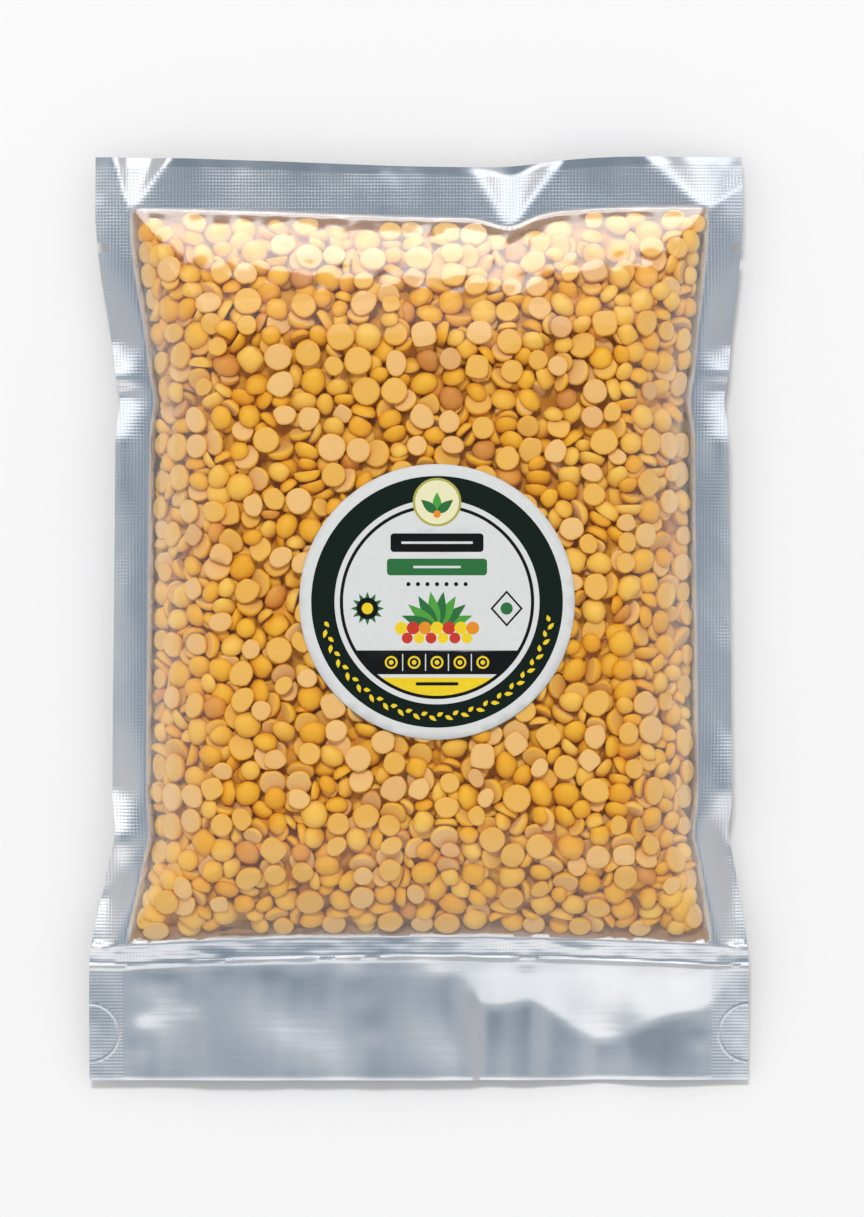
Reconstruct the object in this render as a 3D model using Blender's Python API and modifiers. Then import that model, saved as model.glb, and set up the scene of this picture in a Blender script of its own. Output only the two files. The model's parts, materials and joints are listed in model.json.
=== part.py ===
"""A flat pouch of split peas: foil back, clear front, round paper label.

The pouch lies on its foil back with the clear side up. +Y runs from the open tail to the
end with the tear notches, and the origin is on the table under the middle of the pouch.
"""

import math
import random

import bmesh
import bpy
from mathutils import Matrix, Vector

# Driving sizes of the pouch, in metres. Flat, it is a 14 x 20 cm pouch.
pouch_width = 0.140
pouch_length = 0.1963
side_seal = 0.0074
top_seal = 0.0108
tail_length = 0.0290
fill_seal = 0.0044
foil_thickness = 0.0005
fit_gap = 0.0003

# What filling the pouch does to its outline: the long edges are drawn in between the pinches.
left_draw = 0.0046
right_draw = 0.0033
top_draw = 0.0014
upper_pinch = (0.046, 0.087)
lower_pinch = (-0.045, -0.075)
pinch_draw = 0.0008
top_edge_dip = 0.0024
top_edge_dip_x = 0.013
top_edge_dip_reach = (0.050, 0.018)
window_bottom_dip = 0.0018
v_crease_x = 0.0192
v_crease_depth = 0.0020
v_crease_reach = 0.0050

# Heights above the table.
seal_height = 0.0072
tail_corner_height = 0.0020
tail_middle_height = 0.0042
top_edge_droop = 0.0016
side_edge_droop = 0.0008
crown_edge = 0.0188
crown_rise = 0.0034
side_round = 0.0170
end_round = 0.0280
back_side_round = 0.0140
back_end_round = 0.0240
corner_crispness = 4
ripple = 0.0004
pinch_buckle = 0.0012
pinch_reach = 0.0045

# Tear notches on both long edges.
notch_y = 0.0788
notch_depth = 0.0026
notch_radius = 0.0011

# The label.
label_radius = 0.0289
label_centre = (0.0038, 0.0036)
label_thickness = 0.00035
label_lift = 0.0001
label_sides = 40
label_rings = 3

# The split peas that show.
pea_radius = 0.0028
pea_size_spread = 0.14
pea_thickness = 0.0026
pea_relief = 0.0013
pea_pitch = 0.0066
pea_jitter = 0.0009
pea_least_gap = 0.0052
pea_tilt = 0.42
pea_sides = 6
pea_under_film = 0.0002
flat_share = 0.6
pea_seed = 7

# Mesh cells, in the order across, then along.
window_cells = (16, 18)
side_seal_cells = 2
top_seal_cells = 2
fill_seal_cells = 1
tail_cells = 5

rim_height = 0.0008
half_width = pouch_width / 2
half_length = pouch_length / 2


def smooth(t):
    """0 below 0, 1 above 1, and an even S curve between."""
    t = min(max(t, 0.0), 1.0)
    return t * t * (3 - 2 * t)


def bell(distance, reach):
    return math.exp(-((distance / reach) ** 2))


def between(start, end, t):
    return start + (end - start) * t


def drawn_in(y):
    """1 where the filling draws the long edges in, 0 near the flat ends."""
    upper = smooth((upper_pinch[1] - y) / (upper_pinch[1] - upper_pinch[0]))
    lower = smooth((y - lower_pinch[1]) / (lower_pinch[0] - lower_pinch[1]))
    return upper * lower


def edge_x(side, y):
    """x of the pouch's long edge; side is -1 on the left and 1 on the right."""
    draw = left_draw if side < 0 else right_draw
    narrowing = top_draw * smooth((y + half_length) / pouch_length)
    kinks = bell(y - upper_pinch[0], pinch_reach) + bell(y - lower_pinch[0], pinch_reach)
    return side * (half_width - narrowing - draw * drawn_in(y) - pinch_draw * kinks)


def window_x(side, y):
    return edge_x(side, y) - side * side_seal


def top_edge_y(x):
    reach = top_edge_dip_reach[0] if x < top_edge_dip_x else top_edge_dip_reach[1]
    return half_length - top_edge_dip * bell(x - top_edge_dip_x, reach)


def window_top_y(x):
    crease = v_crease_depth * bell(x - v_crease_x, v_crease_reach)
    return top_edge_y(x) - top_seal - crease


def window_bottom_y(x):
    bow = max(0.0, 1 - (x / (half_width - side_seal)) ** 2)
    return -half_length + tail_length + window_bottom_dip * bow


def seal_plane(x, y):
    """Height of the underside of the sealed border and the tail."""
    across = min(abs(x) / half_width, 1.0)
    tail_edge = between(tail_middle_height, tail_corner_height, across**2)
    height = between(tail_edge, seal_height, smooth((y + half_length) / tail_length))
    height -= top_edge_droop * smooth((y - half_length + top_seal) / top_seal)
    side = -1 if x < 0 else 1
    beyond = (abs(x) - abs(window_x(side, y))) / side_seal
    height -= side_edge_droop * max(beyond, 0.0) ** 2
    for pinch_y in (upper_pinch[0], lower_pinch[0]):
        height -= pinch_buckle * bell(y - pinch_y, pinch_reach) * smooth(beyond)
    wave = math.sin(y * 95 + side * 1.3) * smooth(across * 3 - 2)
    wave += math.sin(x * 130 + 0.7) * smooth((y / half_length) * 4 - 3)
    return height + ripple * wave


def fullness(x, y, side_reach, end_reach):
    """0 at the window's edge and 1 where the pouch is full, with a crease at each corner."""
    side = -1 if x < 0 else 1
    from_side = (abs(window_x(side, y)) - abs(x)) / side_reach
    from_end = min(window_top_y(x) - y, y - window_bottom_y(x)) / end_reach
    rises = [1 - (1 - min(max(d, 0.0), 1.0)) ** 2 for d in (from_side, from_end)]
    if min(rises) <= 0:
        return 0.0
    return (sum(r**-corner_crispness for r in rises) - 1) ** (-1 / corner_crispness)


def back_z(x, y):
    """Height of the foil's underside: flat on the table, and up to the seal round it."""
    return seal_plane(x, y) * (1 - fullness(x, y, back_side_round, back_end_round))


def film_z(x, y):
    """Height of the clear film over the split peas."""
    seal = seal_plane(x, y) + foil_thickness
    middle = crown_rise * (1 - (x / half_width) ** 2) * (1 - (y / half_length) ** 2)
    return between(seal, crown_edge + middle, fullness(x, y, side_round, end_round))


def core_z(x, y):
    """Height of the bare core that the split peas are fused on."""
    rim = seal_plane(x, y) + foil_thickness + fit_gap + rim_height
    full = fullness(x, y, side_round, end_round)
    return max(rim, between(rim, film_z(x, y) - pea_relief, smooth(full * 4)))


def slopes(height, x, y, step=0.0004):
    """Rise per metre of a height function along x and y."""
    along_x = (height(x + step, y) - height(x - step, y)) / (2 * step)
    along_y = (height(x, y + step) - height(x, y - step)) / (2 * step)
    return along_x, along_y


def bed_z(x, y):
    """Height of the core's underside, which lies in the foil with a small gap."""
    steepness = math.hypot(1.0, *slopes(back_z, x, y))
    return back_z(x, y) + (foil_thickness + fit_gap) * steepness


def window_place(a, b):
    """x and y of a point of the window; a and b run from -1 to 1 across and along it."""
    x = y = 0.0
    for _ in range(4):
        y = between(window_bottom_y(x), window_top_y(x), (b + 1) / 2)
        x = between(window_x(-1, y), window_x(1, y), (a + 1) / 2)
    return x, y


def crowded(k, cells):
    """The k-th of the stations from -1 to 1, which lie closer together near the ends."""
    return -math.cos(math.pi * k / cells)


def station(k, before, middle, after):
    """Which stretch station k is in (-1, 0 or 1) and how far along that stretch it is."""
    if k < before:
        return -1, k / before
    if k > before + middle:
        return 1, (k - before - middle) / after
    return 0, crowded(k - before, middle)


def pouch_place(i, j):
    """x and y of point i across and j along the whole pouch."""
    below = tail_cells + fill_seal_cells
    part_x, a = station(i, side_seal_cells, window_cells[0], side_seal_cells)
    part_y, b = station(j, below, window_cells[1], top_seal_cells)
    x, y = window_place(part_x or a, part_y or b)
    for _ in range(3):
        if part_y < 0:
            seal_top = window_bottom_y(x)
            if j <= tail_cells:
                y = between(-half_length, seal_top - fill_seal, j / tail_cells)
            else:
                y = between(seal_top - fill_seal, seal_top, (j - tail_cells) / fill_seal_cells)
        if part_y > 0:
            y = between(window_top_y(x), top_edge_y(x), b)
        if part_x < 0:
            x = between(edge_x(-1, y), window_x(-1, y), a)
        elif part_x > 0:
            x = between(window_x(1, y), edge_x(1, y), a)
        elif part_y:
            x = between(window_x(-1, y), window_x(1, y), (a + 1) / 2)
    return x, y


def new_object(name, bm, collection):
    mesh = bpy.data.meshes.new(name)
    bm.to_mesh(mesh)
    bm.free()
    obj = bpy.data.objects.new(name, mesh)
    collection.objects.link(obj)
    return obj


def placed_grid(columns, rows, place):
    """A grid of cells whose point (i, j) is moved to place(i, j)."""
    bm = bmesh.new()
    bmesh.ops.create_grid(bm, x_segments=columns, y_segments=rows, size=1)
    for vert in bm.verts:
        i = round((vert.co.x + 1) / 2 * columns)
        j = round((vert.co.y + 1) / 2 * rows)
        vert.co = place(i, j)
    return bm


def add_modifier(obj, name, kind, **settings):
    modifier = obj.modifiers.new(name, kind)
    for key, value in settings.items():
        setattr(modifier, key, value)
    return modifier


def make_notch_cutter(side, cutters):
    """A slot with a round end that reaches in from one long edge."""
    edge = edge_x(side, notch_y)
    end = edge - side * (notch_depth - notch_radius)
    bm = bmesh.new()
    tall = 4 * seal_height
    bmesh.ops.create_cone(
        bm, cap_ends=True, segments=16, radius1=notch_radius, radius2=notch_radius, depth=tall
    )
    for vert in bm.verts:
        if vert.co.x * side > 1e-5:
            vert.co.x += side * 2 * notch_depth
    bm.transform(Matrix.Translation((end, notch_y, 0)))
    cutter = new_object("notch_cutter_left" if side < 0 else "notch_cutter_right", bm, cutters)
    cutter.hide_render = True
    cutter.display_type = "WIRE"
    return cutter


def make_foil(collection, cutters):
    """The foil back with its sealed border and the open tail, as one bent sheet."""
    columns = window_cells[0] + 2 * side_seal_cells
    rows = window_cells[1] + tail_cells + fill_seal_cells + top_seal_cells

    def place(i, j):
        x, y = pouch_place(i, j)
        return Vector((x, y, back_z(x, y)))

    foil = new_object("foil_pouch", placed_grid(columns, rows, place), collection)
    add_modifier(foil, "foil", "SOLIDIFY", thickness=foil_thickness, offset=1)
    for side in (-1, 1):
        cutter = make_notch_cutter(side, cutters)
        add_modifier(foil, cutter.name, "BOOLEAN", operation="DIFFERENCE", object=cutter)
    return foil


def make_core(collection):
    """The solid heap without its split peas: a pillow between the film and the foil."""
    bm = placed_grid(*window_cells, lambda i, j: Vector((i, j, 0)))
    lower = list(bm.verts)
    upper = bmesh.ops.extrude_face_region(bm, geom=bm.faces[:], use_keep_orig=True)["geom"]
    upper = [item for item in upper if isinstance(item, bmesh.types.BMVert)]
    inset = 1 - fit_gap / (half_width - side_seal)
    for verts, height in ((lower, bed_z), (upper, core_z)):
        for vert in verts:
            a = crowded(vert.co.x, window_cells[0]) * inset
            b = crowded(vert.co.y, window_cells[1]) * inset
            x, y = window_place(a, b)
            vert.co = (x, y, height(x, y))
    bmesh.ops.recalc_face_normals(bm, faces=bm.faces[:])
    return new_object("split_peas", bm, collection)


def curved_disc(radius, sides, rings, height):
    """An open round sheet over the label's centre, at height(x, y)."""
    bm = bmesh.new()
    ring_step = radius / rings
    centre = bm.verts.new((0, 0, 0))
    spoke = [centre] + [bm.verts.new((ring_step * (k + 1), 0, 0)) for k in range(rings)]
    edges = [bm.edges.new(pair) for pair in zip(spoke, spoke[1:])]
    bmesh.ops.spin(
        bm, geom=spoke + edges, cent=(0, 0, 0), axis=(0, 0, 1),
        angle=2 * math.pi, steps=sides, use_merge=True,
    )
    bmesh.ops.remove_doubles(bm, verts=bm.verts[:], dist=1e-6)
    for vert in bm.verts:
        x, y = vert.co.x + label_centre[0], vert.co.y + label_centre[1]
        vert.co = (x, y, height(x, y))
    bmesh.ops.recalc_face_normals(bm, faces=bm.faces[:])
    if sum(face.normal.z for face in bm.faces) < 0:
        bmesh.ops.reverse_faces(bm, faces=bm.faces[:])
    return bm


def make_label(collection):
    bm = curved_disc(label_radius, label_sides, label_rings, lambda x, y: film_z(x, y) + label_lift)
    label = new_object("label", bm, collection)
    add_modifier(label, "paper", "SOLIDIFY", thickness=label_thickness, offset=1)
    return label


def make_label_bed(collection):
    """The packed split peas that carry the label, as one low round step on the core."""
    bed_radius = label_radius - 2 * pea_radius
    bm = curved_disc(bed_radius, pea_sides * 3, 2, lambda x, y: film_z(x, y) - pea_under_film)
    bed = new_object("label_bed", bm, collection)
    add_modifier(bed, "depth", "SOLIDIFY", thickness=2 * pea_relief, offset=-1)
    return bed


def pea_places(draw):
    """Where the split peas lie: rows of a staggered pattern, each a little off its place."""
    places = []
    row_pitch = pea_pitch * math.sqrt(3) / 2
    rows = int(pouch_length / row_pitch)
    columns = int(pouch_width / pea_pitch)
    for row in range(rows):
        for column in range(columns):
            x = (column - columns / 2 + 0.5 * (row % 2)) * pea_pitch
            y = (row - rows / 2) * row_pitch
            x += draw.uniform(-pea_jitter, pea_jitter)
            y += draw.uniform(-pea_jitter, pea_jitter)
            if fullness(x, y, side_round, end_round) <= 0:
                continue
            from_label = math.hypot(x - label_centre[0], y - label_centre[1])
            if from_label < label_radius - 1.4 * pea_radius:
                continue
            if any(math.hypot(x - p, y - q) < pea_least_gap for p, q in places):
                continue
            places.append((x, y))
    return places


def pea_shape(draw):
    """A few-sided split pea: its flat split face up, or its rounded back up."""
    radius = pea_radius * (1 + draw.uniform(-pea_size_spread, pea_size_spread))
    flat_up = draw.random() < flat_share
    low, high = (0.9, 0.97) if flat_up else (1.0, 0.56)
    bm = bmesh.new()
    bmesh.ops.create_cone(
        bm, cap_ends=True, segments=pea_sides,
        radius1=radius * low, radius2=radius * high, depth=pea_thickness,
    )
    bmesh.ops.scale(bm, vec=(1, draw.uniform(0.86, 1.0), 1), verts=bm.verts[:])
    return bm


def settle_pea(bm, x, y, draw):
    """Turns a split pea to lie along the film and lets its highest corner touch the film."""
    rise_x, rise_y = slopes(film_z, x, y)
    normal = Vector((-rise_x, -rise_y, 1)).normalized()
    heading = draw.uniform(0, 2 * math.pi)
    lean = Vector((math.cos(heading), math.sin(heading), 0)) * pea_tilt * draw.random() ** 1.5
    facing = (normal + lean).normalized()
    turn = facing.to_track_quat("Z", "Y").to_matrix().to_4x4()
    spin = Matrix.Rotation(draw.uniform(0, 2 * math.pi), 4, "Z")
    bm.transform(Matrix.Translation((x, y, film_z(x, y))) @ turn @ spin)
    high = max((v.co.z - film_z(v.co.x, v.co.y)) * normal.z for v in bm.verts)
    bmesh.ops.translate(bm, vec=-normal * (high + pea_under_film), verts=bm.verts[:])


def clears_foil(bm):
    """True if every corner stays over the foil by the fitting gap."""
    least = foil_thickness + 2 * fit_gap
    for vert in bm.verts:
        x, y, z = vert.co
        side = -1 if x < 0 else 1
        floor = seal_plane(x, y) if abs(x) > abs(window_x(side, y)) - pea_radius else bed_z(x, y)
        if not window_bottom_y(x) + pea_radius < y < window_top_y(x) - pea_radius:
            floor = max(floor, seal_plane(x, y))
        if z < floor + least:
            return False
    return True


def make_peas(collection):
    draw = random.Random(pea_seed)
    count = 0
    for x, y in pea_places(draw):
        bm = pea_shape(draw)
        settle_pea(bm, x, y, draw)
        if clears_foil(bm):
            count += 1
            new_object(f"pea_{count:03d}", bm, collection)
        else:
            bm.free()
    print(count, "split peas")


def fuse(core, pieces):
    """Joins everything in a collection to the core for good, then drops the pieces."""
    union = add_modifier(
        core, "fuse", "BOOLEAN", operation="UNION", operand_type="COLLECTION",
        collection=pieces, solver="MANIFOLD",
    )
    bpy.context.view_layer.objects.active = core
    bpy.ops.object.modifier_apply(modifier=union.name)
    for obj in list(pieces.objects):
        bpy.data.objects.remove(obj)
    bpy.data.collections.remove(pieces)


def keep_largest_body(obj):
    """Drops loose scraps and the skins of sealed hollows that fusing can leave."""
    bm = bmesh.new()
    bm.from_mesh(obj.data)
    bm.verts.ensure_lookup_table()
    unseen = set(bm.verts)
    bodies = []
    while unseen:
        front = [unseen.pop()]
        body = set(front)
        while front:
            for edge in front.pop().link_edges:
                for vert in edge.verts:
                    if vert in unseen:
                        unseen.remove(vert)
                        body.add(vert)
                        front.append(vert)
        bodies.append(body)
    bodies.sort(key=len)
    for body in bodies[:-1]:
        bmesh.ops.delete(bm, geom=list(body), context="VERTS")
    bm.to_mesh(obj.data)
    bm.free()


def paint(obj, name, colour, roughness, metallic=0.0):
    material = bpy.data.materials.new(name)
    material.use_nodes = True
    shader = material.node_tree.nodes["Principled BSDF"]
    shader.inputs["Base Color"].default_value = (*colour, 1)
    shader.inputs["Roughness"].default_value = roughness
    shader.inputs["Metallic"].default_value = metallic
    obj.data.materials.clear()
    obj.data.materials.append(material)


def new_collection(name, parent):
    collection = bpy.data.collections.new(name)
    parent.children.link(collection)
    return collection


def main():
    for obj in list(bpy.data.objects):
        bpy.data.objects.remove(obj)
    scene = bpy.context.scene.collection
    pouch = new_collection("pouch_of_split_peas", scene)
    cutters = new_collection("cutters", scene)
    pieces = new_collection("fused_pieces", scene)
    foil = make_foil(pouch, cutters)
    core = make_core(pouch)
    make_label_bed(pieces)
    make_peas(pieces)
    fuse(core, pieces)
    keep_largest_body(core)
    label = make_label(pouch)
    paint(foil, "foil_laminate", (0.47, 0.50, 0.54), 0.3, metallic=1.0)
    paint(core, "split_peas_under_film", (0.72, 0.40, 0.09), 0.35)
    paint(label, "label_paper", (0.80, 0.80, 0.80), 0.5)
    foil.data.shade_smooth()


main()
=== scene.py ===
import json
import math
import random

import bmesh
import bpy
import numpy as np
from mathutils import Matrix, Vector
from mathutils.geometry import delaunay_2d_cdt

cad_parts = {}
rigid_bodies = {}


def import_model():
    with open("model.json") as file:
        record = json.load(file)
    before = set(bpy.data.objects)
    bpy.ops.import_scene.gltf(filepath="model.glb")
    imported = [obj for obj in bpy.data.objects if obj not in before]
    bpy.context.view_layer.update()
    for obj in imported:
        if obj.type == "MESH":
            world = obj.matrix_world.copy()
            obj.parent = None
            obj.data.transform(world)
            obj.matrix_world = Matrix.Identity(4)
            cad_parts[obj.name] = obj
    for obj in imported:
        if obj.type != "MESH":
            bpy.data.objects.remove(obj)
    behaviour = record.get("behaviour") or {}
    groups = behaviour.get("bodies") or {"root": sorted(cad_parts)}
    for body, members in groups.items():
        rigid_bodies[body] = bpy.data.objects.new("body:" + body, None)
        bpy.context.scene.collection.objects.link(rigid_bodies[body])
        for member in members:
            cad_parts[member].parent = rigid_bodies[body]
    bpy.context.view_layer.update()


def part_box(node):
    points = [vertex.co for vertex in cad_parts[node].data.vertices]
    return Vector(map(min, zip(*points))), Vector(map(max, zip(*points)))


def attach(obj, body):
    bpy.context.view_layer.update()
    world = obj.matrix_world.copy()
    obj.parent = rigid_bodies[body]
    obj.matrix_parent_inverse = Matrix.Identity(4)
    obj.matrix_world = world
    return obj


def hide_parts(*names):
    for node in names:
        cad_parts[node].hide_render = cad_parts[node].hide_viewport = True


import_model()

# A sealed pouch of yellow split peas, lying on its foil back and seen from above.
# Lengths are metres unless a name ends in Mm. +Y runs from the open tail to the notched end.

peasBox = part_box("split_peas")
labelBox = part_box("label")

pouch = {
    "halfWidth": 0.0700,
    "halfLength": 0.09815,
    "sideSeal": 0.0074,
    "topSeal": 0.0108,
    "tail": 0.0290,
    "fillSeal": 0.0044,
    "leftDraw": 0.0046,
    "rightDraw": 0.0033,
    "topDraw": 0.0014,
    "upperPinch": (0.046, 0.087),
    "lowerPinch": (-0.045, -0.075),
    "pinchDraw": 0.0008,
    "pinchReach": 0.0045,
    "pinchBuckle": 0.0012,
    "topDip": 0.0024,
    "topDipX": 0.013,
    "topDipReach": (0.050, 0.018),
    "bottomBow": 0.0018,
    "dartX": 0.0192,
    "dartDepth": 0.0020,
    "dartReach": 0.0050,
    "sealHeight": 0.0072,
    "tailCorner": 0.0020,
    "tailMiddle": 0.0042,
    "topDroop": 0.0016,
    "sideDroop": 0.0008,
    "crownEdge": 0.0188,
    "crownRise": 0.0034,
    "sideRound": 0.0170,
    "endRound": 0.0280,
    "backSideRound": 0.0120,
    "backEndRound": 0.0190,
    "cornerCrispness": 4,
    "notchY": 0.0788,
    "notchDepth": 0.0024,
    "notchRadius": 0.0011,
    "foilThickness": 0.0005,
}


def smooth(t):
    t = np.clip(t, 0.0, 1.0)
    return t * t * (3 - 2 * t)


def bell(distance, reach):
    return np.exp(-((distance / reach) ** 2))


def between(start, end, t):
    return start + (end - start) * t


def softNoise(x, y, wave, seed, waves=9):
    # smooth waves in random directions, about 1 high in the root mean square
    draw = random.Random(seed)
    total = np.zeros_like(x)
    for _ in range(waves):
        angle = draw.uniform(0, math.tau)
        phase = draw.uniform(0, math.tau)
        length = wave * draw.uniform(0.7, 1.4)
        total += np.sin((x * math.cos(angle) + y * math.sin(angle)) * math.tau / length + phase)
    return total / math.sqrt(waves / 2)


def edgeX(side, y):
    # x of the long edge: drawn in by the filling, with a kink at each pinch
    upper, lower = pouch["upperPinch"], pouch["lowerPinch"]
    drawn = smooth((upper[1] - y) / (upper[1] - upper[0])) * smooth((y - lower[1]) / (lower[0] - lower[1]))
    draw = np.where(side < 0, pouch["leftDraw"], pouch["rightDraw"])
    narrowing = pouch["topDraw"] * smooth((y + pouch["halfLength"]) / (2 * pouch["halfLength"]))
    kinks = bell(y - upper[0], pouch["pinchReach"]) + bell(y - lower[0], pouch["pinchReach"])
    return side * (pouch["halfWidth"] - narrowing - draw * drawn - pouch["pinchDraw"] * kinks)


def windowX(side, y):
    return edgeX(side, y) - side * pouch["sideSeal"]


def topEdgeY(x):
    reach = np.where(x < pouch["topDipX"], *pouch["topDipReach"])
    return pouch["halfLength"] - pouch["topDip"] * bell(x - pouch["topDipX"], reach)


def windowTopY(x):
    return topEdgeY(x) - pouch["topSeal"] - pouch["dartDepth"] * bell(x - pouch["dartX"], pouch["dartReach"])


def windowBottomY(x):
    bow = np.maximum(0.0, 1 - (x / (pouch["halfWidth"] - pouch["sideSeal"])) ** 2)
    return -pouch["halfLength"] + pouch["tail"] + pouch["bottomBow"] * bow


def insideSides(x, y):
    # distance in from the window's nearer long side
    side = np.where(x < 0, -1.0, 1.0)
    return np.abs(windowX(side, y)) - np.abs(x)


def insideEnds(x, y):
    return np.minimum(windowTopY(x) - y, y - windowBottomY(x))


def outside(x, y):
    # how far out in the side seal a place is, from 0 at the window to 1 at the long edge
    return -insideSides(x, y) / pouch["sideSeal"]


def topDroop(y):
    return pouch["topDroop"] * smooth((y - pouch["halfLength"] + pouch["topSeal"]) / pouch["topSeal"])


def pinchDip(x, y):
    out = smooth(outside(x, y))
    return sum(
        pouch["pinchBuckle"] * bell(y - pouch[pinch][0], pouch["pinchReach"]) * out
        for pinch in ("upperPinch", "lowerPinch")
    )


def sealPlane(x, y):
    # underside of the sealed border and the tail
    across = np.minimum(np.abs(x) / pouch["halfWidth"], 1.0)
    tailEdge = between(pouch["tailMiddle"], pouch["tailCorner"], across**2)
    height = between(tailEdge, pouch["sealHeight"], smooth((y + pouch["halfLength"]) / pouch["tail"]))
    height = height - topDroop(y)
    return height - pouch["sideDroop"] * np.maximum(outside(x, y), 0.0) ** 2 - pinchDip(x, y)


def fullness(x, y, sideRound, endRound):
    # 0 at the window's edge, 1 where the pouch is full, with a crease at each corner
    fromSide = insideSides(x, y) / sideRound
    fromEnd = insideEnds(x, y) / endRound
    rises = [np.maximum(1 - (1 - np.clip(d, 0, 1)) ** 2, 1e-6) for d in (fromSide, fromEnd)]
    crisp = pouch["cornerCrispness"]
    full = (rises[0] ** -crisp + rises[1] ** -crisp - 1) ** (-1 / crisp)
    return np.where((fromSide > 0) & (fromEnd > 0), full, 0.0)


def backZ(x, y):
    return sealPlane(x, y) * (1 - fullness(x, y, pouch["backSideRound"], pouch["backEndRound"]))


def filmZ(x, y):
    crown = (1 - (x / pouch["halfWidth"]) ** 2) * (1 - (y / pouch["halfLength"]) ** 2)
    top = pouch["crownEdge"] + pouch["crownRise"] * crown
    seal = sealPlane(x, y) + pouch["foilThickness"]
    return between(seal, top, fullness(x, y, pouch["sideRound"], pouch["endRound"]))


def slopes(height, x, y, step=0.0004):
    alongX = (height(x + step, y) - height(x - step, y)) / (2 * step)
    alongY = (height(x, y + step) - height(x, y - step)) / (2 * step)
    return alongX, alongY


def unitNormals(height, x, y):
    dx, dy = slopes(height, x, y)
    normal = np.stack([-dx, -dy, np.ones_like(x)], axis=-1)
    return normal / np.linalg.norm(normal, axis=-1, keepdims=True)


def windowPlace(a, b):
    # x and y for a and b, which run from -1 to 1 across and along the window
    x = np.zeros_like(a)
    for _ in range(4):
        y = between(windowBottomY(x), windowTopY(x), (b + 1) / 2)
        x = between(windowX(-1.0, y), windowX(1.0, y), (a + 1) / 2)
    return x, y


def gridMesh(name, points, closedUnder=None):
    # points[row, column] as one sheet, or as a closed body with closedUnder as its lower side
    rows, columns = points.shape[:2]
    index = np.arange(rows * columns).reshape(rows, columns)
    quads = np.stack([index[:-1, :-1], index[:-1, 1:], index[1:, 1:], index[1:, :-1]], axis=-1).reshape(-1, 4)
    coords = points.reshape(-1, 3)
    if closedUnder is not None:
        shift = rows * columns
        rim = np.concatenate([index[0, :], index[1:, -1], index[-1, -2::-1], index[-2:0:-1, 0]])
        nextRim = np.roll(rim, -1)
        walls = np.stack([rim + shift, nextRim + shift, nextRim, rim], axis=-1)
        quads = np.concatenate([quads, quads[:, ::-1] + shift, walls])
        coords = np.concatenate([coords, closedUnder.reshape(-1, 3)])
    mesh = bpy.data.meshes.new(name)
    mesh.from_pydata(coords.tolist(), [], quads.tolist())
    mesh.shade_smooth()
    # the rim stays crisp
    mesh.set_sharp_from_angle(angle=math.radians(50))
    return mesh


def addObject(name, mesh):
    obj = bpy.data.objects.new(name, mesh)
    bpy.context.scene.collection.objects.link(obj)
    return obj


def pointAttribute(mesh, name, values):
    attribute = mesh.attributes.new(name, "FLOAT", "POINT")
    attribute.data.foreach_set("value", np.ascontiguousarray(values, np.float32).ravel())


def finishPiece(obj, material, slot=None, *nodes):
    obj.data.materials.clear()
    obj.data.materials.append(material)
    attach(obj, "root")
    if nodes:
        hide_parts(*nodes)


def srgb(code):
    # hex colour to linear light
    parts = [int(code[k:k + 2], 16) / 255 for k in (1, 3, 5)]
    return tuple(c / 12.92 if c <= 0.04045 else ((c + 0.055) / 1.055) ** 2.4 for c in parts) + (1.0,)


def addNode(tree, kind, inputs=None, **settings):
    # one node with its settings; an input takes a value or another node's socket
    node = tree.nodes.new(kind)
    for name, value in settings.items():
        setattr(node, name, value)
    for key, value in (inputs or {}).items():
        if isinstance(value, bpy.types.NodeSocket):
            tree.links.new(value, node.inputs[key])
        else:
            node.inputs[key].default_value = value
    return node


def newMaterial(name):
    material = bpy.data.materials.new(name)
    material.use_nodes = True
    tree = material.node_tree
    return material, tree, tree.nodes["Principled BSDF"]


def setRamp(node, *stops):
    ramp = node.color_ramp
    while len(ramp.elements) < len(stops):
        ramp.elements.new(0.5)
    for element, (place, colour) in zip(ramp.elements, stops):
        element.position = place
        element.color = colour


# Camera and studio

studio = {
    "photoSize": (864, 1217),
    "mmPerPixel": 0.2115,
    "pouchCentrePixel": (419, 618.9),
    "cameraHeight": 1.30,
    # colours of the room against how far up they are, from the horizon at 0
    "sky": ((0.0, "#DCDCDE"), (0.5, "#DCDDDF"), (0.80, "#D6D9DC"), (0.92, "#C8D3DC"), (0.97, "#A3B1BE"),
            (1.0, "#909DA9")),
    "skyTilt": 8,
    "key": {"azimuth": 98, "elevation": 63, "distance": 4.5, "size": (0.8, 0.5), "radiance": 72.0},
    "topCard": {"azimuth": 90, "elevation": 20.5, "distance": 2.4, "size": (2.2, 1.10), "radiance": 3.6},
    "highCard": {"azimuth": 90, "elevation": 62, "distance": 2.4, "size": (3.6, 1.0), "radiance": 1.12},
    "tailCard": {"azimuth": -90, "elevation": 54, "distance": 2.4, "size": (2.4, 0.96), "radiance": 0.62},
    "floorColour": "#F4F1EF",
    "floorReach": 6,
}


def makeCamera():
    width, height = studio["photoSize"]
    scale = studio["mmPerPixel"] / 1000
    centreX = (width / 2 - studio["pouchCentrePixel"][0]) * scale
    centreY = (studio["pouchCentrePixel"][1] - height / 2) * scale
    subject = sum(peasBox[k].z for k in (0, 1)) / 2
    camera = bpy.data.cameras.new("camera")
    camera.sensor_fit = "VERTICAL"
    camera.sensor_height = 24
    camera.lens = camera.sensor_height * (studio["cameraHeight"] - subject) / (height * scale)
    camera.clip_start = 0.01
    obj = addObject("camera", camera)
    obj.location = (centreX, centreY, studio["cameraHeight"])
    bpy.context.scene.camera = obj


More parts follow.
